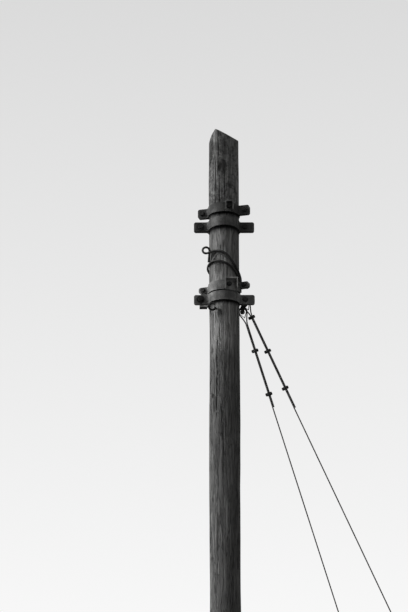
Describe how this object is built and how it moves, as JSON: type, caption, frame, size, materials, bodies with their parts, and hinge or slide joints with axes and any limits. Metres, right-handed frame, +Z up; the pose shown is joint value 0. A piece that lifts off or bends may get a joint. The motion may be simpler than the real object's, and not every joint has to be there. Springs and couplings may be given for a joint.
{
  "type": "wooden utility pole",
  "caption": "Round wooden utility pole with a roofed top, stacked steel collars, a wrapped strand with an eye, a pigtail hook and guys to ground anchors",
  "frame": {"origin": "centre of the shaft at ground level", "axes": "+Z up the shaft, -Y the side that faces the picture's viewer, +X the viewer's right"},
  "size_m": [4.349, 4.6921, 8.9],
  "materials": {
    "weathered_wood": "weathered grey, cracked along the grain",
    "galvanised_steel": "dull weathered zinc with stains",
    "dark_steel": "dark weathered steel",
    "strand_steel": "dark weathered strand"
  },
  "bodies": {
    "root": {"pole_shaft": "weathered_wood", "upper_small_collar_front": "galvanised_steel", "upper_small_collar_back": "galvanised_steel", "upper_main_collar_front": "galvanised_steel", "upper_main_collar_back": "galvanised_steel", "upper_box_bracket": "galvanised_steel", "upper_small_collar_left_bolt": "dark_steel", "upper_small_collar_right_bolt": "dark_steel", "upper_main_collar_left_bolt": "dark_steel", "upper_main_collar_right_bolt": "dark_steel", "upper_bracket_screw": "dark_steel", "lower_small_collar_front": "galvanised_steel", "lower_small_collar_back": "galvanised_steel", "lower_main_collar_front": "galvanised_steel", "lower_main_collar_back": "galvanised_steel", "lower_box_bracket": "galvanised_steel", "lower_small_collar_left_bolt": "dark_steel", "lower_small_collar_right_bolt": "dark_steel", "lower_main_collar_left_bolt": "dark_steel", "lower_main_collar_right_bolt": "dark_steel", "lower_bracket_screw": "dark_steel", "guy_a_strand": "strand_steel", "guy_a_upper_thimble": "galvanised_steel", "guy_a_lower_thimble": "galvanised_steel", "guy_a_upper_clips": "dark_steel", "guy_a_lower_clips": "dark_steel", "guy_a_anchor_rod": "dark_steel", "guy_b_strand": "strand_steel", "guy_b_upper_thimble": "galvanised_steel", "guy_b_lower_thimble": "galvanised_steel", "guy_b_upper_clips": "dark_steel", "guy_b_lower_clips": "dark_steel", "guy_b_anchor_rod": "dark_steel", "wrap_strand": "strand_steel", "pigtail_hook": "dark_steel", "hook_sleeve": "dark_steel", "guard_strip": "galvanised_steel", "guy_plate": "dark_steel"}
  },
  "joints": []
}
